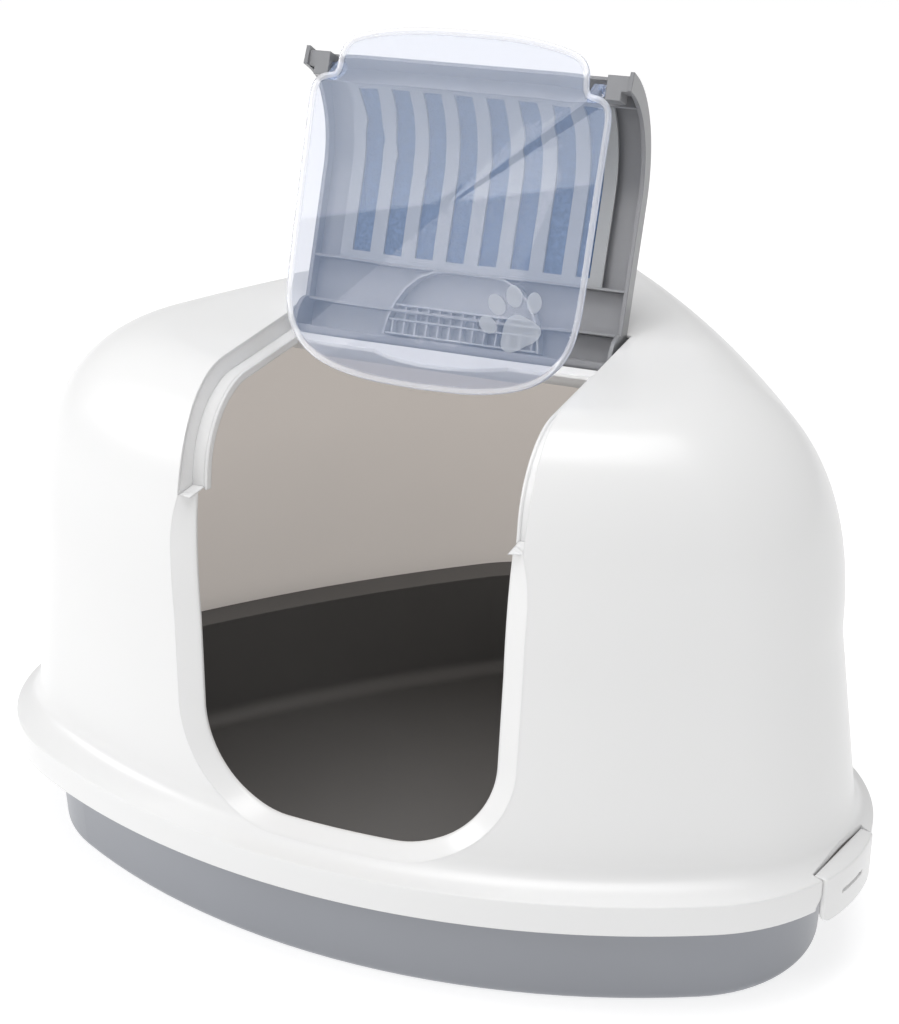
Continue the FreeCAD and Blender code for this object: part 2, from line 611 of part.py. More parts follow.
def filter_plate(name, top, bottom, start, half):
    body = new_body(name)
    sketch = profile(body, name + "_profile", "YZ_Plane", band(start, top, bottom, VENT_END))
    pad(body, name + "_pad", sketch, "2 * (%s)" % half, symmetric=True)
    return body


filter_pad = filter_plate("filter_pad", "Dims.pad_top", "Dims.pad_bottom", "Dims.vent_start",
                          "Dims.vent_half + 6")
filter_grille = filter_plate("filter_grille", "Dims.pad_bottom", "Dims.grille_bottom",
                             "Dims.vent_start", "Dims.vent_half + 8")
window_steps = [
    ("-Dims.vent_half", "-Dims.window_low"),
    ("-Dims.vent_half + Dims.slot_width", "-Dims.window_low"),
    ("-Dims.vent_half + Dims.slot_width", "Dims.vent_start - 5"),
    ("-Dims.vent_half", "Dims.vent_start - 5"),
]
window_sketch = profile(filter_grille, "window_profile", "XY_Plane", window_steps,
                        offset="-Dims.window_drop")
window = pad(filter_grille, "window", window_sketch, "90", cut=True)
window.Reversed = True
windows = filter_grille.newObject("PartDesign::LinearPattern", "windows")
windows.Originals = [window]
windows.Direction = (window_sketch, ["H_Axis"])
filter_grille.Tip = windows
windows.Occurrences = int(val("slat_count")) + 1
windows.setExpression("Length", "%s * Dims.slat_count" % PITCH)


# ---------------------------------------------------------------- flap, drawn hanging from its axis
flap = new_body("flap")
FRONT = "Dims.flap_front"
corner_z = "-Dims.flap_length + Dims.flap_corner"
low = "Dims.flap_half_low"
LIP_RADIUS = "((80 ^ 2 + (Dims.lip_height + 6) ^ 2) / (2 * (Dims.lip_height + 6)))"


def flap_steps(grow):
    edge = "(%s - %s)" % (low, grow)
    high = "(Dims.flap_half_top - %s)" % grow
    round_r = "(Dims.flap_corner - %s)" % grow
    base = "(-Dims.flap_length + %s)" % grow
    middle = "Dims.lip_height - %s" % grow
    return [
        ("-" + high, "-12 - " + grow),
        ("-" + edge, corner_z),
        ("arc", "-%s + %s" % (edge, round_r), corner_z, round_r, "-%s + %s" % (edge, round_r), base, "left"),
        ("%s - %s" % (edge, round_r), base),
        ("arc", "%s - %s" % (edge, round_r), corner_z, round_r, edge, corner_z, "left"),
        (high, "-12 - " + grow),
        ("80 - %s * 0.5" % grow, "-6 - %s * 0.5" % grow),
        ("arc", "0", "%s - %s" % (middle, LIP_RADIUS), LIP_RADIUS,
         "-sqrt(%s ^ 2 - (-6 - %s * 0.5 - (%s) + %s) ^ 2)" % (LIP_RADIUS, grow, middle, LIP_RADIUS),
         "-6 - %s * 0.5" % grow, "left"),
    ]


def lip_fix(steps, grow):
    """Put the right end of the lip arc exactly on its circle."""
    left_x = steps[7][4]
    steps[6] = (left_x[1:], steps[7][5])
    return steps


panel = profile(flap, "panel_profile", "XZ_Plane", lip_fix(flap_steps("0"), "0"), offset=FRONT)
pad(flap, "panel", panel, "Dims.flap_skin")
bead_outer = profile(flap, "bead_profile", "XZ_Plane", lip_fix(flap_steps("0"), "0"),
                     offset=FRONT + " + Dims.flap_skin")
pad(flap, "bead", bead_outer, "1.6")
bead_inner = profile(flap, "bead_inner_profile", "XZ_Plane", lip_fix(flap_steps("3"), "3"),
                     offset=FRONT + " + Dims.flap_skin + 1.6")
pad(flap, "bead_room", bead_inner, "1.6", cut=True)
neck_steps = [
    ("-Dims.flap_front - Dims.flap_skin", "-9.5"),
    ("2.6", "-3"),
    ("2.6", "3"),
    ("-2", "3"),
    ("-Dims.flap_front - Dims.flap_skin", "-5"),
]
neck = profile(flap, "neck_profile", "YZ_Plane", neck_steps, offset="Dims.neck_half - 6")
neck_pad = pad(flap, "neck", neck, "6")
flap_pin_sketch = circle_sketch(flap, "flap_pin_profile", "YZ_Plane", "0", "0", "Dims.flap_pin",
                                "Dims.neck_half - 3")
flap_pin_pad = pad(flap, "flap_pin", flap_pin_sketch, "12.5")
mirror_x(flap, "other_pin", [neck_pad, flap_pin_pad])
doc.recompute()


# ---------------------------------------------------------------- clips
def ring(name, outer, inner, base, top):
    body = new_body(name)
    outer_sketch = outline(body, name + "_outer", "1", outer, "0", base)
    pad(body, name + "_pad", outer_sketch, "(%s) - (%s)" % (top, base))
    inner_sketch = outline(body, name + "_inner", "1", inner, "0", top)
    pad(body, name + "_room", inner_sketch, "(%s) - (%s)" % (top, base), cut=True)
    return body


plate_ring = ring("plate_ring", "-Dims.clip_proud", "Dims.clip_inner", "Dims.clip_bottom", "Dims.clip_top")
riser_ring = ring("riser_ring", "-Dims.clip_proud", "Dims.clip_inner", "Dims.clip_top",
                  "Dims.clip_z + Dims.tab_top")
tab_plan = new_body("tab_plan")
tab_outline = outline(tab_plan, "tab_outline", "1", "-Dims.clip_proud", "0", "Dims.clip_z - Dims.tab_root")
pad(tab_plan, "tab_plan_pad", tab_outline, "Dims.tab_root + Dims.tab_top")
bead_ring = ring("bead_ring", "Dims.clip_inner - 0.3", "Dims.bead_reach",
                 "Dims.bead_low", "Dims.bead_high")
clips = []
for side, word in ((1, "right"), (-1, "left")):
    reach_box = clip_box("plate_box_" + word, side, "-Dims.clip_tool_in", "Dims.clip_tool_out",
                         "Dims.clip_half", "-Dims.clip_tool_drop", "0")
    plate = boolean("plate_" + word, "common", plate_ring, [reach_box])
    riser_box = clip_box("riser_box_" + word, side, "-Dims.clip_tool_in", "Dims.clip_tool_out",
                         "Dims.tab_half", "Dims.clip_top - Dims.clip_z", "Dims.tab_top")
    riser = boolean("riser_" + word, "common", riser_ring, [riser_box])
    tab_box = clip_box("tab_box_" + word, side, "-Dims.tab_root", "Dims.tab_reach", "Dims.tab_half",
                       "-Dims.tab_root", "Dims.tab_top")
    tab = boolean("tab_" + word, "common", tab_plan, [tab_box])
    bead_box = clip_box("bead_box_" + word, side, "-Dims.clip_tool_in", "Dims.clip_tool_out",
                        "Dims.bead_half", "-12", "-5")
    snap = boolean("snap_" + word, "common", bead_ring, [bead_box])
    pin = clip_pin("pin_" + word, side, "Dims.clip_pin", "Dims.clip_pin_half")
    clip = boolean("clip_" + word, "fuse", plate, [riser, tab, snap, pin])
    clip.Label = "clip_" + word
    clips.append(clip)
doc.recompute()

# ---------------------------------------------------------------- places at rest: visor open, flap hanging
hinge_point = V(0, val("hinge_y") - val("depth") / 2, val("hinge_z"))
open_turn = FreeCAD.Rotation(V(1, 0, 0), -val("open_angle"))
visor.Placement = FreeCAD.Placement(hinge_point, open_turn)
filter_pad.Placement = FreeCAD.Placement(hinge_point, open_turn)
filter_grille.Placement = FreeCAD.Placement(hinge_point, open_turn)
flap_point = hinge_point.add(open_turn.multVec(V(0, val("flap_axis_y"), val("flap_axis_z"))))
flap.Placement = FreeCAD.Placement(flap_point, FreeCAD.Rotation(V(1, 0, 0), -val("flap_lean")))
doc.recompute()

nodes = [tray, hood, visor, filter_pad, filter_grille, flap] + clips
for item in doc.Objects:
    if "Invalid" in item.State or "Error" in item.State:
        raise RuntimeError("%s is %s" % (item.Name, item.State))
for node in nodes:
    if node.Shape.isNull() or not node.Shape.isValid():
        raise RuntimeError("%s has no valid shape" % node.Label)
    node.Shape.exportStep("parts/%s.step" % node.Label)
    print("%-14s volume %9.0f solids %d" % (node.Label, node.Shape.Volume, len(node.Shape.Solids)))
print("flap axis", flap_point)
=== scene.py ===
import math

import bmesh
import bpy
import numpy as np
from mathutils import Matrix, Vector


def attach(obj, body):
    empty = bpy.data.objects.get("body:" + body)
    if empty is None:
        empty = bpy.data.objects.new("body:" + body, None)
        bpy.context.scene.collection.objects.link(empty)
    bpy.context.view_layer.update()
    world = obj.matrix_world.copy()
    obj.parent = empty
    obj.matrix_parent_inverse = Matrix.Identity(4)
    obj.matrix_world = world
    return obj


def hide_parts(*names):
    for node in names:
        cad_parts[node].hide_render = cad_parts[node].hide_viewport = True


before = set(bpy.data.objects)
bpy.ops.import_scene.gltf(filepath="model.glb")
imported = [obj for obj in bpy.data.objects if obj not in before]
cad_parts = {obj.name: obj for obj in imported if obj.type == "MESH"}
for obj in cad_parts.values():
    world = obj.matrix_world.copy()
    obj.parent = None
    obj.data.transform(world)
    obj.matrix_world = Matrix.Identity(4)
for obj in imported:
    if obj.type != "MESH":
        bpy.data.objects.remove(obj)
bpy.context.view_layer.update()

MM = 0.001
BACK = 227.5                     # outlines start at the rim's front edge, this far ahead of the frame's y = 0
HINGE = Vector((0.0, -11.5, 347.0))
OPEN_ANGLE = math.radians(112)
FLAP_AXIS = Vector((0.0, 3.539, 507.018))
FLAP_LEAN = math.radians(21)

VISOR_FRAME = Matrix.Scale(MM, 4) @ Matrix.Translation(HINGE) @ Matrix.Rotation(-OPEN_ANGLE, 4, "X")
FLAP_FRAME = Matrix.Scale(MM, 4) @ Matrix.Translation(FLAP_AXIS) @ Matrix.Rotation(-FLAP_LEAN, 4, "X")
WORLD_FRAME = Matrix.Scale(MM, 4)


# ------------------------------------------------------------------ mesh helpers
def new_object(name, verts, faces, matrix=WORLD_FRAME, smooth=40.0):
    mesh = bpy.data.meshes.new(name)
    mesh.from_pydata([tuple(v) for v in verts], [], [tuple(f) for f in faces])
    mesh.transform(matrix)
    obj = bpy.data.objects.new(name, mesh)
    bpy.context.scene.collection.objects.link(obj)
    clean(obj, smooth)
    return obj


def clean(obj, smooth=40.0, merge=0.0):
    """Point the faces outwards and shade smooth, with creases sharper than an angle kept."""
    bm = bmesh.new()
    bm.from_mesh(obj.data)
    if merge:
        bmesh.ops.remove_doubles(bm, verts=bm.verts, dist=merge)
    bmesh.ops.recalc_face_normals(bm, faces=bm.faces)
    bm.to_mesh(obj.data)
    bm.free()
    obj.data.shade_smooth()
    obj.data.set_sharp_from_angle(angle=math.radians(smooth))


def rings_mesh(rings, cap_first=True, cap_last=True):
    """Faces between closed rings of equal length; caps are fans round each ring's middle."""
    verts = [p for ring in rings for p in ring]
    n = len(rings[0])
    faces = []
    for k in range(len(rings) - 1):
        for i in range(n):
            j = (i + 1) % n
            faces.append((k * n + i, k * n + j, (k + 1) * n + j, (k + 1) * n + i))
    for wanted, base in ((cap_first, 0), (cap_last, (len(rings) - 1) * n)):
        if wanted:
            middle = len(verts)
            verts.append(np.mean(np.array(rings[base // n]), axis=0))
            for i in range(n):
                faces.append((base + i, base + (i + 1) % n, middle))
    return verts, faces


def prism_faces(n):
    """Sides and both ends between two outlines of n points each."""
    faces = [(i, (i + 1) % n, n + (i + 1) % n, n + i) for i in range(n)]
    return faces + [tuple(range(n)), tuple(range(2 * n - 1, n - 1, -1))]


def extrude_yz(points, half):
    """Closed (y, z) profile extruded between -half and +half in x."""
    verts = [(-half, y, z) for y, z in points] + [(half, y, z) for y, z in points]
    return verts, prism_faces(len(points))


def boolean(obj, other, operation="DIFFERENCE"):
    """Cut obj with another object, which is used up, or keep what they share."""
    modifier = obj.modifiers.new("cut", "BOOLEAN")
    modifier.operation = operation
    modifier.solver = "EXACT"
    modifier.object = other
    depsgraph = bpy.context.evaluated_depsgraph_get()
    mesh = bpy.data.meshes.new_from_object(obj.evaluated_get(depsgraph))
    obj.modifiers.clear()
    obj.data = mesh
    bpy.data.objects.remove(other)


def join(name, objects):
    """One mesh from several objects; material indices stay as they are."""
    merged = bmesh.new()
    for obj in objects:
        merged.from_mesh(obj.data)
    mesh = bpy.data.meshes.new(name)
    merged.to_mesh(mesh)
    merged.free()
    out = bpy.data.objects.new(name, mesh)
    bpy.context.scene.collection.objects.link(out)
    for obj in objects:
        bpy.data.objects.remove(obj)
    return out


def arc(cx, cy, radius, start, end, count):
    """Points on an arc between two angles in degrees."""
    angles = np.radians(np.linspace(start, end, count))
    return [(cx + radius * math.cos(a), cy + radius * math.sin(a)) for a in angles]


# ------------------------------------------------------------------ plan outlines
# overall width, then the radii of the front, front corners, side walls and back corner, in mm
RIM = dict(width=584.0, front=502.0, corner=120.0, wall=1130.0, back=111.0)
WALL = dict(width=590.0, front=489.0, corner=100.0, wall=1140.0, back=110.0)
DEPTH = 455.0
ARC_COUNTS = (120, 40, 48, 32)    # points on the front arc, a front corner, a side wall and the back arc


def outline(plan, scale=1.0, inset=0.0, setback=0.0, squeeze=0.0):
    """Closed outline of tangent arcs as an N x 2 array, front edge at y = setback."""
    front, corner = plan["front"] * scale, plan["corner"] * scale
    wall, back = plan["wall"] * scale, plan["back"] * scale
    cx = (plan["width"] / 2 - plan["corner"]) * scale
    cy = front - math.sqrt((front - corner) ** 2 - cx ** 2)
    back_y = (DEPTH - plan["back"]) * scale - squeeze
    span = np.array([-cx, back_y - cy])
    reach = np.hypot(*span)
    along = ((wall - corner) ** 2 - (wall - back) ** 2 + reach ** 2) / (2 * reach)
    across = math.sqrt((wall - corner) ** 2 - along ** 2)
    unit = span / reach
    wx = cx + unit[0] * along - unit[1] * across
    wy = cy + unit[1] * along + unit[0] * across
    t_front = math.degrees(math.atan2(cy - front, cx))
    t_wall = math.degrees(math.atan2(cy - wy, cx - wx))
    t_back = math.degrees(math.atan2(back_y - wy, -wx))
    right = arc(0, front, front - inset, -90, t_front, ARC_COUNTS[0] // 2)
    right += arc(cx, cy, corner - inset, t_front, t_wall, ARC_COUNTS[1])[1:]
    right += arc(wx, wy, wall - inset, t_wall, t_back, ARC_COUNTS[2])[1:]
    right += arc(0, back_y, back - inset, t_back, 90, ARC_COUNTS[3] // 2)[1:]
    right = np.array(right)
    left = right[-2:0:-1].copy()
    left[:, 0] *= -1
    full = np.vstack([right, left])
    full[:, 1] += setback - BACK
    return full


def ring(points, height, tilt=0.0):
    """Plan outline lifted to a height that can rise towards the back."""
    z = height + tilt * (points[:, 1] + BACK - 200.0)
    return np.column_stack([points, np.broadcast_to(z, len(points))])


# ------------------------------------------------------------------ hood levels
FOOT, SPRING, CROWN = 92.0, 213.0, 358.0
ROUND = 2.0 / 2.42                # power of the superellipse from wall to crown
FOOT_HALF, CROWN_HALF = 280.0, 156.0
FOOT_SETBACK, CROWN_SETBACK = 19.5, 92.0
CROWN_SHORT = -58.0
SIDE_DRAFT, FRONT_DRAFT, BACK_DRAFT = 0.14, 0.05, 0.17
SKIRT_FOOT = 68.0
WALL_GAP = 2.5


def wall_level(turn, lift, gap=0.0):
    """Hood wall at a lift above its foot (turn 0) or on the crown (turn above 0)."""
    rise = math.sin(math.radians(turn)) ** ROUND
    reach = 1 - math.cos(math.radians(turn)) ** ROUND
    half = FOOT_HALF - SIDE_DRAFT * lift
    setback = FOOT_SETBACK + FRONT_DRAFT * lift
    short = -BACK_DRAFT * lift
    half += (CROWN_HALF - half) * reach
    setback += (CROWN_SETBACK - setback) * reach
    short += (CROWN_SHORT - short) * reach
    side = max(math.cos(math.radians(turn)), 0.35)
    height = FOOT + lift + (CROWN - SPRING) * rise - gap * math.sin(math.radians(turn))
    half -= gap * side
    setback += gap * side
    scale = half / (WALL["width"] / 2)
    return ring(outline(WALL, scale, 0.0, setback, short), height, 0.01 * rise)


# (height, share of the way in from the rim's plan to the wall's) up the fillet above the skirt
FLARE = [(88.0, 0.02), (88.4, 0.14), (89.0, 0.3), (90.0, 0.47), (91.0, 0.6), (92.2, 0.7), (93.6, 0.79),
         (95.0, 0.86), (97.0, 0.92), (99.0, 0.957), (101.5, 0.985), (104.0, 1.0)]
FLARE_INSIDE = [(84.4, 0.3), (86.6, 0.5), (89.0, 0.66), (92.2, 0.8), (95.0, 0.89), (99.0, 0.96), (104.0, 1.0)]


def dome_rings(gap=0.0):
    """Rings from the skirt's lower edge to the crown; a gap gives the inner face of the wall."""
    if gap:
        rim = outline(RIM, 1.0, gap)
        rings = [ring(rim, SKIRT_FOOT), ring(rim, 84.3)]
        flare = FLARE_INSIDE
    else:
        rings = []
        skirt = ((0.9, SKIRT_FOOT), (0.3, 68.2), (0.15, 69.0), (0.15, 86.6), (0.3, 87.4), (0.7, 87.9))
        for inset, height in skirt:
            rings.append(ring(outline(RIM, 1.0, inset), height))
        flare = FLARE
    for z, share in flare:
        wall = wall_level(0, z - FOOT, gap)[:, :2]
        base = outline(RIM, 1.0, gap or 0.7)
        rings.append(ring(base * (1 - share) + wall * share, z))
    for lift in np.linspace(18, SPRING - FOOT, 9):
        rings.append(wall_level(0, lift, gap))
    for turn in np.linspace(3, 86, 36):
        rings.append(wall_level(turn, SPRING - FOOT, gap))
    top = rings[-1]
    middle = top.mean(axis=0)
    for share in (0.75, 0.5, 0.25):
        rings.append(middle + (top - middle) * share)
    return rings


OUTER = dome_rings()
MIDDLE = dome_rings(1.3)         # between the faces, so that the seat ends inside the wall
INNER = dome_rings(WALL_GAP)


def front_y(x, z):
    """Model y of the hood's outer front face at a place in x and z."""
    levels = []
    for level in OUTER[6:-3]:
        order = level[level[:, 1] < level[:, 1].min() + 110]
        order = order[np.argsort(order[:, 0])]
        levels.append((np.interp(x, order[:, 0], order[:, 2]), np.interp(x, order[:, 0], order[:, 1])))
    levels = np.array(levels)
    return float(np.interp(z, levels[:, 0], levels[:, 1]))


# ------------------------------------------------------------------ visor seat, opening and doorway tools
BEND_Y, BEND_R, RISE = -98.0, 66.0, 11.0     # the closed visor's lower bend and top face, from the hinge
BEND_Z = RISE - BEND_R
BEND_END, TAIL = 172, 8.0
SEAT_DEPTH, TROUGH, SEAT_HALF = 12.5, 17.0, 107.5
OPENING_HALF, OPENING_FRONT = 99.0, -29.0
LOBE_HALF, LOBE_DEEP = 44.0, 15.0
DOOR_TOP, SILL, DOOR_R = 291.5, 98.3, 60.0
DOOR_LOW, DOOR_HIGH = 95.5, 99.0             # half widths at the sill and at the top
CREASE, CREASE_SILL = 14.0, 5.0              # width of the bevel beside and below the hole
CORNER_FLARE = 258.0                         # above this height the crease runs in towards the hole


def visor_path(depth, trough):
    """Profile of the space behind the closed visor, from the hinge trough to the tail."""
    level = RISE - depth
    radius = BEND_R - depth
    start = math.degrees(math.asin(max(-1.0, min(1.0, level / trough))))
    points = arc(0, 0, trough, 0, -180 - start, 24)
    points += arc(BEND_Y, BEND_Z, radius, 90, BEND_END, 30)
    y, z = points[-1]
    tail = math.radians(BEND_END - 90)
    points.append((y - TAIL * math.cos(tail), z - TAIL * math.sin(tail)))
    return points


def seat_tool(depth, trough, half):
    """Everything above the path of the visor's back, between two side walls."""
    path = visor_path(depth, trough)
    low = path[-1][1]
    points = [(trough, 60.0)] + path + [(-260.0, low), (-260.0, 60.0)]
    points = [(y + HINGE.y, z + HINGE.z) for y, z in points]
    return extrude_yz(points, half)


def opening_tool():
    """Roof opening in front of the seat bar, which has a shallow lobe in its middle."""
    lobe_r = (LOBE_HALF ** 2 + LOBE_DEEP ** 2) / (2 * LOBE_DEEP)
    sweep = math.degrees(math.asin(LOBE_HALF / lobe_r))
    half, bar = OPENING_HALF, OPENING_FRONT
    points = [(-half, -240.0), (half, -240.0), (half, bar), (LOBE_HALF + 3, bar)]
    points += arc(0, bar - LOBE_DEEP + lobe_r, lobe_r, -90 + sweep, -90 - sweep, 30)
    points += [(-half, bar)]
    points = [(x, y + HINGE.y) for x, y in points]
    verts = [(x, y, DOOR_TOP) for x, y in points] + [(x, y, 420.0) for x, y in points]
    return verts, prism_faces(len(points))


def door_line(share):
    """Doorway outline (x, z) from the hole's edge (share 0) out to the bevel's crease (share 1)."""
    side, below = CREASE * share, CREASE_SILL * share
    corner, base = DOOR_R + side * 0.6, SILL - below
    low, top = DOOR_LOW + side, DOOR_HIGH + side
    left = []
    for t in np.linspace(0, 1, 30):
        z = DOOR_TOP + (base + corner - DOOR_TOP) * t
        fade = min(max((z - CORNER_FLARE) / (DOOR_TOP - CORNER_FLARE), 0.0), 1.0)
        left.append((-top + (top - low) * t + 0.4 * side * fade * fade, z))
    left += arc(-low + corner, base + corner, corner, 180, 270, 26)[1:]
    left += [(x, base) for x in np.linspace(-low + corner, 0, 10)[1:]]
    right = [(-x, z) for x, z in left[-2::-1]]
    return left + right


def door_tool(share):
    """Doorway outline run through the front wall, reaching just into the roof opening."""
    points = door_line(share)
    top = DOOR_TOP + 0.1
    points = [(points[0][0], top)] + points + [(points[-1][0], top)]
    verts = [(x, -260.0, z) for x, z in points] + [(x, -130.0, z) for x, z in points]
    return verts, prism_faces(len(points))


# place of each clip's hinge on the skirt, its turn about z in degrees, and its outward side
CLIPS = {
    "right": dict(base=Vector((279.7, -93.4, 87.3)), turn=-14.0, side=1),
    "left": dict(base=Vector((-255.4, 6.9, 87.3)), turn=-38.46, side=-1),
}


def tool(data):
    """Throwaway object for a boolean, from (vertices, faces)."""
    return new_object("tool", *data)


def prism_tool(matrix, profile, x0, x1):
    """Tool with a (y, z) profile between two x places in the frame of a clip."""
    verts = [(x0, y, z) for y, z in profile] + [(x1, y, z) for y, z in profile]
    return new_object("tool", verts, prism_faces(len(profile)), WORLD_FRAME @ matrix)


def clip_frame(clip):
    """Frame with its origin on the clip's hinge line and x square to the skirt."""
    return Matrix.Translation(clip["base"]) @ Matrix.Rotation(math.radians(clip["turn"]), 4, "Z")


def make_hood():
    """Shell with its inner face, the visor seat cut into its crown, the doorway and the clip recesses."""
    n = len(OUTER[0])
    outer_v, outer_f = rings_mesh(OUTER, cap_first=False)
    inner_v, inner_f = rings_mesh(INNER, cap_first=False)
    base = len(outer_v)
    faces = list(outer_f) + [tuple(i + base for i in f) for f in inner_f]
    inside = range(len(outer_f), len(faces))
    faces += [(i, base + i, base + (i + 1) % n, (i + 1) % n) for i in range(n)]
    hood = new_object("hood_shell", list(outer_v) + list(inner_v), faces)
    hood.data.materials.append(WHITE)
    hood.data.materials.append(INSIDE_SHADE_AND_GLOW)
    # inner faces take the darker, glowing copy of the white plastic: painted shade and painted light inside
    # the hood
    for i in inside:
        hood.data.polygons[i].material_index = 1
    seat = tool(seat_tool(SEAT_DEPTH + WALL_GAP, TROUGH + WALL_GAP, SEAT_HALF + WALL_GAP))
    boolean(seat, new_object("hood_solid", *rings_mesh(MIDDLE)), "INTERSECT")
    seat.data.materials.append(WHITE)
    for target, half in ((hood, SEAT_HALF), (seat, SEAT_HALF - 0.25)):
        boolean(target, tool(seat_tool(SEAT_DEPTH, TROUGH, half)))
        boolean(target, tool(opening_tool()))
    boolean(hood, tool(door_tool(1.0)))
    boolean(seat, tool(door_tool(0.0)))
    for clip in CLIPS.values():
        place = clip_frame(clip)
        side = clip["side"]
        right = [(31.7, -1.9), (31.7, -10), (32.5, -12.5), (34.2, -14.6), (35.4, -17), (36.0, -30)]
        gap_below = right + [(-y, z) for y, z in right[::-1]]
        boolean(hood, prism_tool(place, gap_below, *sorted((-25.0 * side, 30.0 * side))))
        gap_above = [(31.7, -2.2), (31.7, 12), (-31.7, 12), (-31.7, -2.2)]
        boolean(hood, prism_tool(place, gap_above, *sorted((-2.2 * side, 30.0 * side))))
    pieces = [hood, seat, door_band()] + seat_ribs()
    out = join("hood_moulding", pieces)
    clean(out, 30.0, 0.000004)
    return out


def door_band():
    """Bevelled return of the doorway: crease, slope, edge and the back of the thin wall."""
    # (share from the hole's edge to the crease, depth behind the hood's front face)
    steps = [(1.0, 0.0), (0.96, 0.3), (0.89, 1.0), (0.12, 8.2), (0.05, 9.0), (0.0, 10.0),
             (0.0, 11.6), (0.04, 12.1), (0.12, 12.1), (0.95, 3.6), (1.03, 2.4), (1.06, 1.5)]
    lines = []
    for share, depth in steps:
        lines.append([(x, front_y(x, z) + depth, z) for x, z in door_line(share)])
    rows = [[lines[k][i] for k in range(len(steps))] for i in range(len(lines[0]))]
    return new_object("door_band", *rings_mesh(rows))


def seat_ribs():
    """Upright lip along each side of the visor seat, beside the roof opening."""
    path = visor_path(SEAT_DEPTH, TROUGH)
    start = next(i for i, p in enumerate(path) if p[0] < -30.0)
    path = [(OPENING_FRONT, RISE - SEAT_DEPTH)] + path[start:]
    section = ((97.2, -4.5), (97.2, 0.2), (97.7, 0.75), (98.8, 0.75), (99.4, 0.2), (99.4, -4.5))
    ribs = []
    for side in (-1, 1):
        rows = []
        for i, (y, z) in enumerate(path):
            ahead = path[min(i + 1, len(path) - 1)]
            behind = path[max(i - 1, 0)]
            along = Vector((ahead[0] - behind[0], ahead[1] - behind[1])).normalized()
            out = Vector((-abs(along.y), abs(along.x)))
            drop = 1.8 if i == len(path) - 1 else 0.0
            row = []
            for x, rise in section:
                px, py, pz = side * x, y + out.x * rise + HINGE.y, z + out.y * rise + HINGE.z
                row.append((px, py + along.x * drop, pz + along.y * drop))
            rows.append(row)
        ribs.append(new_object("rib", *rings_mesh(rows)))
    return ribs


# ------------------------------------------------------------------ materials
def material(name):
    mat = bpy.data.materials.new(name)
    mat.use_nodes = True
    return mat, mat.node_tree.nodes, mat.node_tree.links, mat.node_tree.nodes["Principled BSDF"]


def moulded(name, colour, variation, roughness, bump, coat=0.0, subsurface=0.0, edge=0.0008, painted_glow=0.0):
    """Moulded plastic: a soft colour drift, fine texture in the bump and rounded edges."""
    mat, nodes, links, shader = material(name)
    place = nodes.new("ShaderNodeTexCoord")
    drift = nodes.new("ShaderNodeTexNoise")
    drift.inputs["Scale"].default_value = 6.0
    drift.inputs["Detail"].default_value = 3.0
    ramp = nodes.new("ShaderNodeValToRGB")
    ramp.color_ramp.elements[0].position = 0.3
    ramp.color_ramp.elements[1].position = 0.7
    ramp.color_ramp.elements[0].color = [c * (1 - variation) for c in colour] + [1]
    ramp.color_ramp.elements[1].color = [min(c * (1 + variation), 1) for c in colour] + [1]
    links.new(place.outputs["Object"], drift.inputs["Vector"])
    links.new(drift.outputs["Fac"], ramp.inputs["Fac"])
    links.new(ramp.outputs["Color"], shader.inputs["Base Color"])
    gloss = nodes.new("ShaderNodeTexNoise")
    gloss.inputs["Scale"].default_value = 45.0
    gloss.inputs["Detail"].default_value = 5.0
    spread = nodes.new("ShaderNodeMapRange")
    spread.inputs["To Min"].default_value = roughness * 0.95
    spread.inputs["To Max"].default_value = roughness * 1.07
    links.new(place.outputs["Object"], gloss.inputs["Vector"])
    links.new(gloss.outputs["Fac"], spread.inputs["Value"])
    links.new(spread.outputs["Result"], shader.inputs["Roughness"])
    grain = nodes.new("ShaderNodeTexNoise")
    grain.inputs["Scale"].default_value = 900.0
    grain.inputs["Detail"].default_value = 2.0
    relief = nodes.new("ShaderNodeBump")
    relief.inputs["Strength"].default_value = bump
    relief.inputs["Distance"].default_value = 0.0004
    links.new(place.outputs["Object"], grain.inputs["Vector"])
    links.new(grain.outputs["Fac"], relief.inputs["Height"])
    if edge:
        soft = nodes.new("ShaderNodeBevel")
        soft.samples = 4
        soft.inputs["Radius"].default_value = edge
        links.new(soft.outputs["Normal"], relief.inputs["Normal"])
    links.new(relief.outputs["Normal"], shader.inputs["Normal"])
    shader.inputs["Coat Weight"].default_value = coat
    shader.inputs["Coat Roughness"].default_value = 0.2
    # painted light: the surface glows in its own colour though it is no lamp
    if painted_glow:
        links.new(ramp.outputs["Color"], shader.inputs["Emission Color"])
        shader.inputs["Emission Strength"].default_value = painted_glow
    if subsurface:
        shader.inputs["Subsurface Weight"].default_value = subsurface
        shader.inputs["Subsurface Radius"].default_value = (0.006, 0.006, 0.005)
        shader.inputs["Subsurface Scale"].default_value = 0.5
    return mat


WHITE = moulded("white_plastic", (0.77, 0.77, 0.77), 0.006, 0.29, 0.012, 0.08, subsurface=0.05, edge=0.0012)
# darker, warmer copy of the white plastic that also glows: painted shade and painted light inside the hood,
# not the plastic's own colour
INSIDE_SHADE_AND_GLOW = moulded("white_plastic_inside_painted_shade_and_glow", (0.60, 0.565, 0.535), 0.012, 0.35, 0.03, painted_glow=0.4)
TRAY_GREY = moulded("tray_grey", (0.272, 0.283, 0.312), 0.03, 0.33, 0.06, 0.1)
# darker copy of the tray grey: painted shade on the tray's inside
TRAY_PAINTED_SHADE = moulded("tray_grey_painted_shade", (0.118, 0.118, 0.118), 0.05, 0.38, 0.06)
VISOR_GREY = moulded("visor_grey", (0.225, 0.228, 0.24), 0.02, 0.32, 0.05, 0.1)
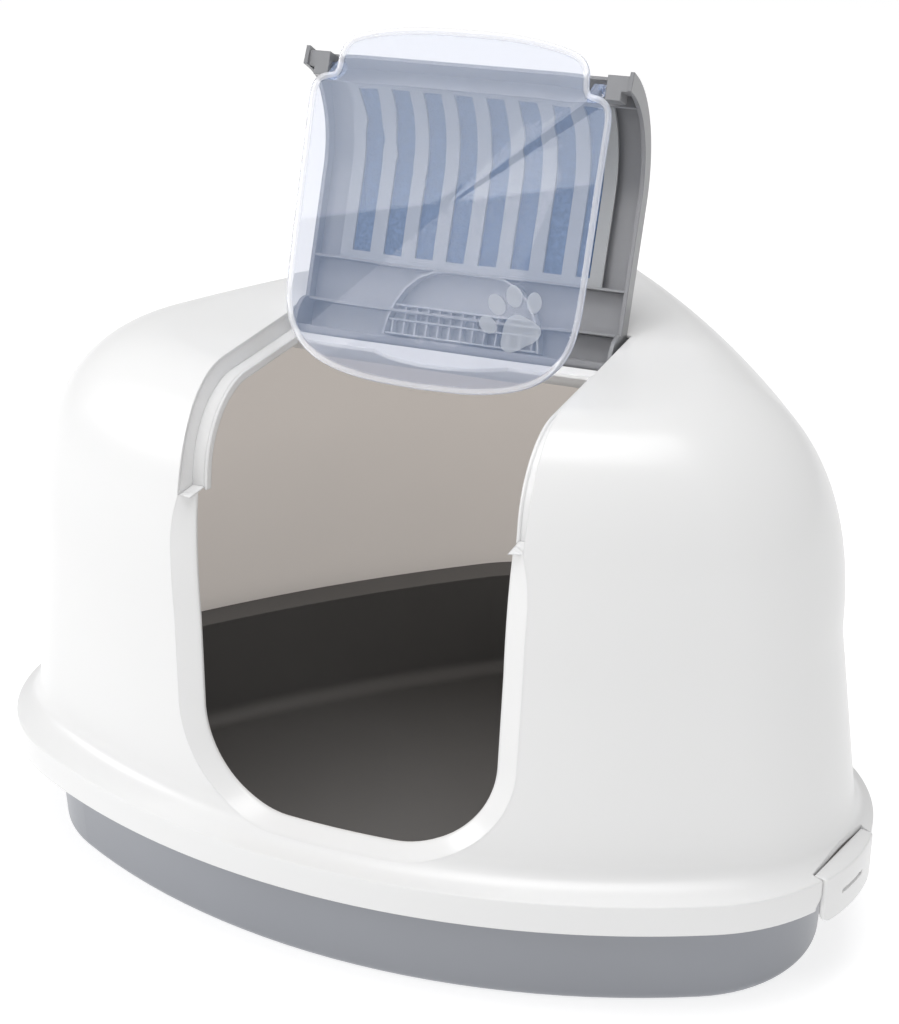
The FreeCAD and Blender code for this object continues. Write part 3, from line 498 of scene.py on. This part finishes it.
# lighter than the visor grey: painted highlight on the thin ribs' edges, the ribs being the visor's own grey
# plastic
RIB_PAINTED_HIGHLIGHT = moulded("visor_rib_grey_painted_highlight", (0.35, 0.36, 0.375), 0.02, 0.3, 0.05, edge=0.0003)
GRILLE = moulded("grille_grey", (0.29, 0.30, 0.31), 0.03, 0.5, 0.15, edge=0.0004)


def make_clear(name, tint, haze_share, haze_colour):
    """Clear styrene with a faint tone, a share of haze and clouds in its gloss."""
    mat, nodes, links, shader = material(name)
    shader.inputs["Base Color"].default_value = tint
    shader.inputs["IOR"].default_value = 1.4
    shader.inputs["Transmission Weight"].default_value = 1.0
    place = nodes.new("ShaderNodeTexCoord")
    cloud = nodes.new("ShaderNodeTexNoise")
    cloud.inputs["Scale"].default_value = 30.0
    spread = nodes.new("ShaderNodeMapRange")
    spread.inputs["To Min"].default_value = 0.012
    spread.inputs["To Max"].default_value = 0.035
    links.new(place.outputs["Object"], cloud.inputs["Vector"])
    links.new(cloud.outputs["Fac"], spread.inputs["Value"])
    links.new(spread.outputs["Result"], shader.inputs["Roughness"])
    haze = nodes.new("ShaderNodeBsdfDiffuse")
    haze.inputs["Color"].default_value = haze_colour
    mixer = nodes.new("ShaderNodeMixShader")
    mixer.inputs["Fac"].default_value = haze_share
    links.new(shader.outputs["BSDF"], mixer.inputs[1])
    links.new(haze.outputs["BSDF"], mixer.inputs[2])
    links.new(mixer.outputs["Shader"], nodes["Material Output"].inputs["Surface"])
    return mat


def make_frost():
    """Half-clear surface with a fine grain."""
    mat, nodes, links, shader = material("frosted_mark")
    shader.inputs["Base Color"].default_value = (0.86, 0.9, 0.96, 1)
    shader.inputs["Roughness"].default_value = 0.6
    shader.inputs["Transmission Weight"].default_value = 0.55
    shader.inputs["Alpha"].default_value = 0.5
    place = nodes.new("ShaderNodeTexCoord")
    grain = nodes.new("ShaderNodeTexNoise")
    grain.inputs["Scale"].default_value = 1500.0
    relief = nodes.new("ShaderNodeBump")
    relief.inputs["Strength"].default_value = 0.4
    relief.inputs["Distance"].default_value = 0.0003
    links.new(place.outputs["Object"], grain.inputs["Vector"])
    links.new(grain.outputs["Fac"], relief.inputs["Height"])
    links.new(relief.outputs["Normal"], shader.inputs["Normal"])
    return mat


def make_fleece():
    """Blue filter foam: small dark cells."""
    mat, nodes, links, shader = material("filter_fleece")
    place = nodes.new("ShaderNodeTexCoord")
    cells = nodes.new("ShaderNodeTexVoronoi")
    cells.inputs["Scale"].default_value = 500.0
    ramp = nodes.new("ShaderNodeValToRGB")
    ramp.color_ramp.elements[0].color = (0.02, 0.045, 0.09, 1)
    ramp.color_ramp.elements[1].color = (0.09, 0.15, 0.27, 1)
    links.new(place.outputs["Object"], cells.inputs["Vector"])
    links.new(cells.outputs["Distance"], ramp.inputs["Fac"])
    links.new(ramp.outputs["Color"], shader.inputs["Base Color"])
    relief = nodes.new("ShaderNodeBump")
    relief.inputs["Strength"].default_value = 0.6
    relief.inputs["Distance"].default_value = 0.0006
    links.new(cells.outputs["Distance"], relief.inputs["Height"])
    links.new(relief.outputs["Normal"], shader.inputs["Normal"])
    shader.inputs["Roughness"].default_value = 0.9
    return mat


CLEAR = make_clear("clear_flap", (0.80, 0.78, 0.775, 1), 0.11, (0.48, 0.63, 0.93, 1))
# whiter, hazier copy of the clear plastic for the rolled rim: painted highlight along the bead
CLEAR_EDGE_PAINTED_HIGHLIGHT = make_clear("clear_flap_edge_painted_highlight", (0.93, 0.93, 0.94, 1), 0.3, (0.97, 0.97, 1.0, 1))
FROST = make_frost()
FLEECE = make_fleece()


def dress(obj, mats, body):
    """Give a piece its materials and the body it rides on."""
    for mat in mats:
        obj.data.materials.append(mat)
    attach(obj, body)


# ------------------------------------------------------------------ hood
hood = make_hood()
dress(hood, [WHITE, INSIDE_SHADE_AND_GLOW], "hood")
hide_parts("hood")


# ------------------------------------------------------------------ flap
# right half of the hanging flap's outline from its axis: foot, side, shoulder under the pin, handle
FLAP_HALF = [(0, -188.0), (30, -187.0), (50, -184.2), (62, -181.0), (74, -175.5), (84, -167.0),
             (90.5, -157.0), (94.0, -145.0), (95.4, -128.0), (95.8, -95.0), (96.0, -60.0), (96.3, -30.0),
             (96.3, -19.0), (95.2, -12.5), (92.2, -8.0), (88.0, -5.8), (83.5, -5.0), (81.2, -4.0),
             (80.3, -1.5), (79.9, 4.0), (78.6, 10.0), (75.0, 15.2), (68.0, 19.0), (52.0, 22.8),
             (32.0, 25.2), (14, 25.9), (0, 26.0)]
# (inset, y) round the flap's rolled rim, from its front face to its back face
FLAP_STEPS = [(1.0, -10.5), (0.3, -10.7), (0.0, -11.3), (0.0, -13.0), (0.4, -13.6), (1.2, -13.9),
              (2.2, -13.7), (2.9, -12.9), (3.5, -12.35), (4.3, -12.3)]
NECK_X, PIN_R, PIN_END = 83, 2.95, 95.5


def spline(points, count):
    """Smooth open curve through the points, evenly spaced along its length."""
    points = [np.array(p, float) for p in points]
    padded = [2 * points[0] - points[1]] + points + [2 * points[-1] - points[-2]]
    curve = []
    for k in range(1, len(padded) - 2):
        a, b, c, d = padded[k - 1:k + 3]
        for t in np.linspace(0, 1, 16, endpoint=False):
            curve.append(0.5 * (2 * b + (c - a) * t + (2 * a - 5 * b + 4 * c - d) * t ** 2
                                + (3 * b - a - 3 * c + d) * t ** 3))
    curve = np.array(curve + [points[-1]])
    length = np.concatenate([[0], np.cumsum(np.linalg.norm(np.diff(curve, axis=0), axis=1))])
    even = np.linspace(0, length[-1], count)
    return np.column_stack([np.interp(even, length, curve[:, k]) for k in (0, 1)])


def flap_line():
    """Closed outline (x, z) of the flap hanging from its axis, counter-clockwise from the foot."""
    right = spline(FLAP_HALF, 130)
    left = right[-2:0:-1].copy()
    left[:, 0] *= -1
    return np.vstack([right, left])


def inset_line(line, inset):
    """Closed outline moved inwards by an inset."""
    ahead = np.roll(line, -1, axis=0) - line
    behind = line - np.roll(line, 1, axis=0)
    unit = ahead / np.linalg.norm(ahead, axis=1)[:, None] + behind / np.linalg.norm(behind, axis=1)[:, None]
    unit /= np.linalg.norm(unit, axis=1)[:, None]
    normal = np.column_stack([-unit[:, 1], unit[:, 0]])
    return line + normal * inset


def tube(stations, count):
    """Closed round bar along x through (x, radius) stations."""
    turns = np.linspace(0, 2 * math.pi, count, endpoint=False)
    return rings_mesh([[(x, r * math.cos(a), r * math.sin(a)) for a in turns] for x, r in stations])


def make_flap():
    """Thin panel with a rolled rim, and a neck and pin at each side."""
    line = flap_line()
    rings = []
    for inset, y in FLAP_STEPS:
        points = inset_line(line, inset)
        rings.append([(x, y, z) for x, z in points])
    verts, faces = rings_mesh(rings)
    panel = new_object("flap_panel", verts, faces, FLAP_FRAME, 50)
    edge_faces = (len(FLAP_STEPS) - 2) * len(line)
    panel.data.materials.append(CLEAR)
    panel.data.materials.append(CLEAR_EDGE_PAINTED_HIGHLIGHT)
    # rim faces take the whiter copy of the clear plastic: painted highlight along the bead
    for face in panel.data.polygons:
        face.material_index = 1 if face.index < edge_faces else 0
    parts = [panel]
    profile = [(-12.3, -9.5), (2.0, -3.2), (2.9, -1.5), (3.0, 0.5), (2.2, 2.4), (-2.0, 3.0), (-12.3, -5.0)]
    for side in (-1, 1):
        neck_v, neck_f = extrude_yz(profile, 3.0)
        neck_v = [(x + side * NECK_X, y, z) for x, y, z in neck_v]
        parts.append(new_object("neck", neck_v, neck_f, FLAP_FRAME))
        stations = ((NECK_X, PIN_R), (PIN_END - 0.5, PIN_R), (PIN_END, 2.4))
        pin = tube([(side * x, r) for x, r in stations], 24)
        parts.append(new_object("pin", *pin, FLAP_FRAME))
    return join("flap_clear", parts)


flap = make_flap()
clean(flap, 40)
dress(flap, [CLEAR, CLEAR_EDGE_PAINTED_HIGHLIGHT], "flap")
flap.visible_shadow = False      # the renderer would give clear plastic a black shadow
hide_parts("flap")


def make_paw():
    """Generic frosted paw: one pad and four toes, standing 0.1 mm off the panel."""
    centre = Vector((55.0, -141.0))
    turn = math.radians(32)
    # middle, half width, half height and lean in degrees of each pad
    pads = [(0, -7, 12.5, 10.0, 0), (-15.5, 6, 4.6, 6.2, 25), (-5.6, 14.5, 4.8, 6.8, 8),
            (6.2, 14.3, 4.8, 6.8, -8), (15.8, 5.5, 4.6, 6.2, -25)]
    parts = []
    for px, pz, a, b, tip in pads:
        rings = []
        for share, y in ((0.7, -12.42), (0.95, -12.40), (1.0, -12.31)):
            row = []
            for t in np.linspace(0, 2 * math.pi, 40, endpoint=False):
                squeeze = 1 + (0.14 * math.cos(3 * t + math.pi / 2) if pz < 0 else 0)
                x = a * share * squeeze * math.cos(t)
                z = b * share * squeeze * math.sin(t)
                q = math.radians(tip)
                x, z = x * math.cos(q) - z * math.sin(q) + px, x * math.sin(q) + z * math.cos(q) + pz
                x, z = x * math.cos(turn) - z * math.sin(turn), x * math.sin(turn) + z * math.cos(turn)
                row.append((centre.x + x, y, centre.y + z))
            rings.append(row)
        parts.append(new_object("toe", *rings_mesh(rings, cap_last=False), FLAP_FRAME))
    return join("flap_paw", parts)


dress(make_paw(), [FROST], "flap")


# ------------------------------------------------------------------ ribs inside the visor
def wall_strip(line, thickness, low, high):
    """Upright wall along an open (x, y) line in the visor's frame."""
    line = np.array(line, float)
    tangent = np.gradient(line, axis=0)
    tangent /= np.linalg.norm(tangent, axis=1)[:, None]
    normal = np.column_stack([-tangent[:, 1], tangent[:, 0]]) * thickness / 2
    rows = []
    for p, q in zip(line, normal):
        rows.append([(*(p - q), high), (*(p - q), low + 0.2), (*(p - q * 0.6), low), (*(p + q * 0.6), low),
                     (*(p + q), low + 0.2), (*(p + q), high)])
    return new_object("rib", *rings_mesh(rows), VISOR_FRAME)


def make_ribs():
    """Arched rib at the visor's tail, filled with a small lattice."""
    arch = [(-51.0, 0.5), (-49.5, -9), (-46, -19), (-40, -29), (-32, -36.5), (-22, -40.8), (-12, -41.6)]
    arch += [(0, -41.7)] + [(-x, y) for x, y in arch[::-1]]
    t = np.linspace(0, 1, len(arch))
    fine = np.linspace(0, 1, 61)
    arch = np.column_stack([np.interp(fine, t, [p[k] for p in arch]) for k in (0, 1)])
    parts = [wall_strip(arch, 1.4, 0.6, 9.0)]
    for y in (-18.4, -9.3, -0.4):
        half = float(np.interp(y, [-41, -19, -9, 1], [20, 45.5, 49, 50.5]))
        parts.append(wall_strip([(x, y) for x in np.linspace(-half, half, 12)], 1.2, 2.2, 9.0))
    for k in range(-6, 7):
        x = k * 7.7
        top = -18.4 if abs(x) < 45 else -9.3
        parts.append(wall_strip([(x, y) for y in np.linspace(top, -0.4, 5)], 1.2, 2.6, 9.0))
    out = join("visor_ribs", parts)
    clean(out, 35)
    return out


dress(make_ribs(), [RIB_PAINTED_HIGHLIGHT], "visor")


# ------------------------------------------------------------------ clips
def make_clip(name, clip):
    """Rounded side clip: a plate on the skirt with a finger groove and a top tab that turns on the hinge."""
    side = clip["side"]
    place = clip_frame(clip)
    undo = place.inverted()
    half, foot, foot_r, end_r = 31, -30.0, 7.0, 1.5
    edge = [undo @ Vector((x, y, clip["base"].z)) for x, y in outline(RIM, 1.0, -1.6)]
    edge = sorted((p.y, side * p.x) for p in edge if side * p.x > -8 and abs(p.y) < 45)
    ys, xs = zip(*edge)
    rows = []
    stations = np.concatenate([np.linspace(-half, half, 40), np.linspace(-half, -25, 12),
                               np.linspace(25, half, 12), [-14.3, -13.9, 10.9, 11.3]])
    for t in sorted(set(np.round(stations, 3))):
        far = max(abs(t) - (half - foot_r), 0.0)
        low = foot + foot_r - math.sqrt(max(foot_r ** 2 - far ** 2, 0.0))
        end = max(abs(t) - (half - end_r), 0.0)
        round_end = end_r - math.sqrt(max(end_r ** 2 - end ** 2, 0.0))
        x = float(np.interp(t, ys, xs)) - 0.5 * round_end
        top = 1.4 - 0.4 * round_end
        cut = 1.1 if abs(t + 1.5) < 12.6 else 0.0        # finger groove, a little off the middle
        row = [(x - 2.5, low + 0.4), (x - 2.2, low), (x - 0.7, low), (x, low + 0.7), (x, -15.4),
               (x - cut, -15.0), (x - cut, -12.9), (x, -12.5), (x, top - 1.3), (x - 0.15, top - 0.7),
               (x - 0.6, top - 0.15), (x - 1.3, top), (-1.3, top), (-1.3, -1.3), (x - 3.2, -1.3),
               (x - 2.5, -2.0)]
        rows.append([(side * px, t, pz) for px, pz in row])
    plate = new_object("plate", *rings_mesh(rows), WORLD_FRAME @ place)
    turns = np.linspace(0, 2 * math.pi, 20, endpoint=False)
    pin = [[(0.9 * math.cos(a), y, 0.9 * math.sin(a)) for a in turns] for y in (-34.5, 34.5)]
    out = join(name, [plate, new_object("pin", *rings_mesh(pin), WORLD_FRAME @ place)])
    clean(out, 30)
    return out


for side in ("left", "right"):
    plate = make_clip("clip_plate_" + side, CLIPS[side])
    dress(plate, [WHITE], "clip_" + side)
    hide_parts("clip_" + side)


# ------------------------------------------------------------------ tray: the CAD shape, with painted shade on its inside
def make_tray():
    """Copy of the tray with its floor, inner walls and rim's top in a darker tone: painted shade, the plastic
    being the same grey inside and out.
    """
    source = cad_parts["tray"]
    tray = bpy.data.objects.new("tray_moulding", source.data.copy())
    tray.matrix_world = source.matrix_world.copy()
    bpy.context.scene.collection.objects.link(tray)
    tray.data.materials.clear()
    dress(tray, [TRAY_GREY, TRAY_PAINTED_SHADE], "base")
    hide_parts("tray")
    turn = tray.matrix_world.to_3x3()
    for face in tray.data.polygons:
        middle = tray.matrix_world @ face.center
        normal = turn @ face.normal
        inward = normal.x * middle.x + normal.y * middle.y < 0
        floor = normal.z > 0.5 and middle.z < 0.02
        rim = normal.z > 0.5 and middle.z > 0.08
        # painted shade: floor, inner walls and upward rim faces take the darker copy of the grey
        face.material_index = 1 if floor or rim or (inward and middle.z > 0.0029) else 0


make_tray()


# ------------------------------------------------------------------ visor and filter keep their CAD shapes
for node, mat in (("visor", VISOR_GREY), ("filter_grille", GRILLE), ("filter_pad", FLEECE)):
    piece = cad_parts[node]
    piece.data.materials.clear()
    piece.data.materials.append(mat)


# ------------------------------------------------------------------ floor, light and camera
def make_stage():
    """White floor just under the feet, with a little light of its own."""
    size, z = 6.0, -0.0005
    verts = [(-size, -size, z), (size, -size, z), (size, size, z), (-size, size, z)]
    mesh = bpy.data.meshes.new("floor")
    mesh.from_pydata(verts, [], [(0, 1, 2, 3)])
    floor = bpy.data.objects.new("floor", mesh)
    bpy.context.scene.collection.objects.link(floor)
    mat, nodes, links, shader = material("floor_white")
    shader.inputs["Base Color"].default_value = (0.55, 0.55, 0.55, 1)
    shader.inputs["Roughness"].default_value = 0.9
    shader.inputs["Specular IOR Level"].default_value = 0.1
    shader.inputs["Emission Color"].default_value = (1, 1, 1, 1)
    shader.inputs["Emission Strength"].default_value = 0.68
    mesh.materials.append(mat)


def area_light(name, location, target, size, power, roll=None):
    """Rectangular lamp aimed at a target, with its long side along roll where one is given."""
    data = bpy.data.lights.new(name, "AREA")
    data.shape = "RECTANGLE"
    data.size, data.size_y = size
    data.energy = power
    lamp = bpy.data.objects.new(name, data)
    lamp.location = location
    lamp.rotation_euler = (Vector(target) - Vector(location)).to_track_quat("-Z", "Y").to_euler()
    if roll:
        back = (Vector(location) - Vector(target)).normalized()
        up = back.cross(roll).normalized()
        lamp.rotation_euler = Matrix((up.cross(back), up, back)).transposed().to_euler()
    lamp.visible_camera = False
    bpy.context.scene.collection.objects.link(lamp)


def make_light():
    """Soft white surroundings that read pure white behind the object, with a key light and a top light."""
    world = bpy.data.worlds.new("studio")
    world.use_nodes = True
    nodes, links = world.node_tree.nodes, world.node_tree.links
    background = nodes["Background"]
    background.inputs["Color"].default_value = (1.0, 1.0, 1.0, 1)
    path = nodes.new("ShaderNodeLightPath")
    seen = nodes.new("ShaderNodeMath")
    seen.operation = "MAXIMUM"
    level = nodes.new("ShaderNodeMapRange")
    level.inputs["To Min"].default_value = 0.5
    level.inputs["To Max"].default_value = 1.0
    links.new(path.outputs["Is Camera Ray"], seen.inputs[0])
    links.new(path.outputs["Is Transmission Ray"], seen.inputs[1])
    links.new(seen.outputs["Value"], level.inputs["Value"])
    links.new(level.outputs["Result"], background.inputs["Strength"])
    bpy.context.scene.world = world
    area_light("key", (-2.6, -1.1, 1.3), (0, 0, 0.2), (1.2, 1.2), 24)
    area_light("top", (0.15, -0.5, 2.4), (0, 0, 0.25), (1.4, 1.4), 28)
    # strip whose lower edge mirrors as a diagonal across the open flap
    along = Vector((0.85, 0.02, 0.527)).normalized()
    across = Vector((-0.527, 0.0, 0.85))
    middle = Vector((-0.76, -1.868, 1.378)) + across * 0.16
    area_light("strip", middle, (0, -0.03, 0.45), (0.9, 0.32), 4.0, roll=along)


def make_camera():
    """Camera fitted to the photograph: front right, looking down, rolled to the rim's slope."""
    data = bpy.data.cameras.new("camera")
    data.lens = 79.04
    data.sensor_width = 36.0
    data.sensor_fit = "HORIZONTAL"
    camera = bpy.data.objects.new("camera", data)
    bpy.context.scene.collection.objects.link(camera)
    right = Vector((0.92455, 0.38107, 0.0))
    up = Vector((-0.15681, 0.38046, 0.91141))
    back = right.cross(up)
    camera.matrix_world = Matrix((
        (right.x, up.x, back.x, 0.4408),
        (right.y, up.y, back.y, -1.0948),
        (right.z, up.z, back.z, 0.7566),
        (0, 0, 0, 1)))
    bpy.context.scene.camera = camera


make_stage()
make_light()
make_camera()
bpy.context.scene.view_settings.view_transform = "Standard"
